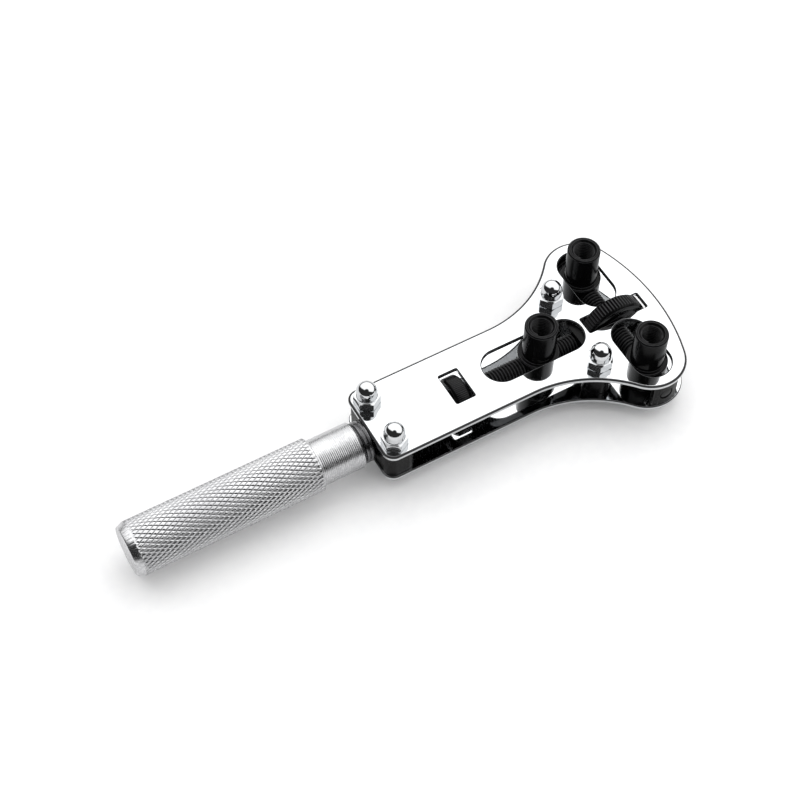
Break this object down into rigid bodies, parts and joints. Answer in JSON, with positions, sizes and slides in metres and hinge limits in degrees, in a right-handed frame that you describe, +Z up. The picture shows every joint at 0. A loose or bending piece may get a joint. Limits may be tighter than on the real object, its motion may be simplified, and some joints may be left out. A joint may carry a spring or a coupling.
{
  "type": "case back opener",
  "caption": "Adjustable case wrench: two mirror plates on a knurled handle carry jaw posts that thumb-wheel screws slide in slots to fit a screw-down case back.",
  "frame": {"origin": "middle of the tool's box in plan, at the bottom of the front thumb wheel", "axes": "+X from the handle to the head, +Z up out of the jaw posts' sockets"},
  "size_m": [0.1712, 0.0584, 0.0268],
  "materials": {
    "mirror_steel": "mirror polished, plated",
    "bright_nut": "bright nickel plated",
    "plain_steel": "turned, zinc plated",
    "knurled_aluminium": "knurled and turned, clear anodised",
    "black_steel": "black oxide, satin gloss"
  },
  "bodies": {
    "frame": {"top_plate": "mirror_steel", "bottom_plate": "mirror_steel", "handle_grip": "knurled_aluminium", "handle_stud": "plain_steel", "handle_collar": "black_steel", "handle_block": "black_steel", "front_bridge": "black_steel", "side_bearing_left": "black_steel", "side_bearing_right": "black_steel", "bearing_pin_left_1": "plain_steel", "bearing_pin_left_2": "plain_steel", "bearing_pin_right_1": "plain_steel", "bearing_pin_right_2": "plain_steel", "clamp_screw_rear_left": "plain_steel", "clamp_screw_rear_right": "plain_steel", "clamp_screw_front_left": "plain_steel", "clamp_screw_front_right": "plain_steel", "domed_nut_rear_left": "bright_nut", "domed_nut_rear_right": "bright_nut", "domed_nut_front_left": "bright_nut", "domed_nut_front_right": "bright_nut"},
    "long_screw": {"long_screw": "black_steel", "rear_wheel": "black_steel", "rear_wheel_set_screw": "plain_steel"},
    "cross_screw": {"cross_screw": "black_steel", "front_wheel": "black_steel", "front_wheel_set_screw": "plain_steel"},
    "centre_jaw": {"centre_jaw_post": "black_steel"},
    "left_jaw": {"left_jaw_post": "black_steel"},
    "right_jaw": {"right_jaw_post": "black_steel"}
  },
  "joints": [
    {"name": "long_screw_turn", "type": "hinge", "parent": "frame", "child": "long_screw", "pos_m": [0.01775, 0, 0.0105], "axis": [1, 0, 0], "range_deg": [-2120, 4600]},
    {"name": "centre_jaw_slide", "type": "slide", "parent": "frame", "child": "centre_jaw", "axis": [1, 0, 0], "range_m": [-0.0128, 0.0059]},
    {"name": "cross_screw_turn", "type": "hinge", "parent": "frame", "child": "cross_screw", "pos_m": [0.07135, 0, 0.0105], "axis": [0, 1, 0], "range_deg": [-2980, 790]},
    {"name": "left_jaw_slide", "type": "slide", "parent": "frame", "child": "left_jaw", "axis": [0, 1, 0], "range_m": [-0.0083, 0.0022]},
    {"name": "right_jaw_slide", "type": "slide", "parent": "frame", "child": "right_jaw", "axis": [0, -1, 0], "range_m": [-0.0083, 0.0022]}
  ],
  "couplings": [
    {"joint": "centre_jaw_slide", "follows": "long_screw_turn", "m_per_rad": -0.00015915},
    {"joint": "left_jaw_slide", "follows": "cross_screw_turn", "m_per_rad": 0.00015915},
    {"joint": "right_jaw_slide", "follows": "cross_screw_turn", "m_per_rad": 0.00015915}
  ]
}
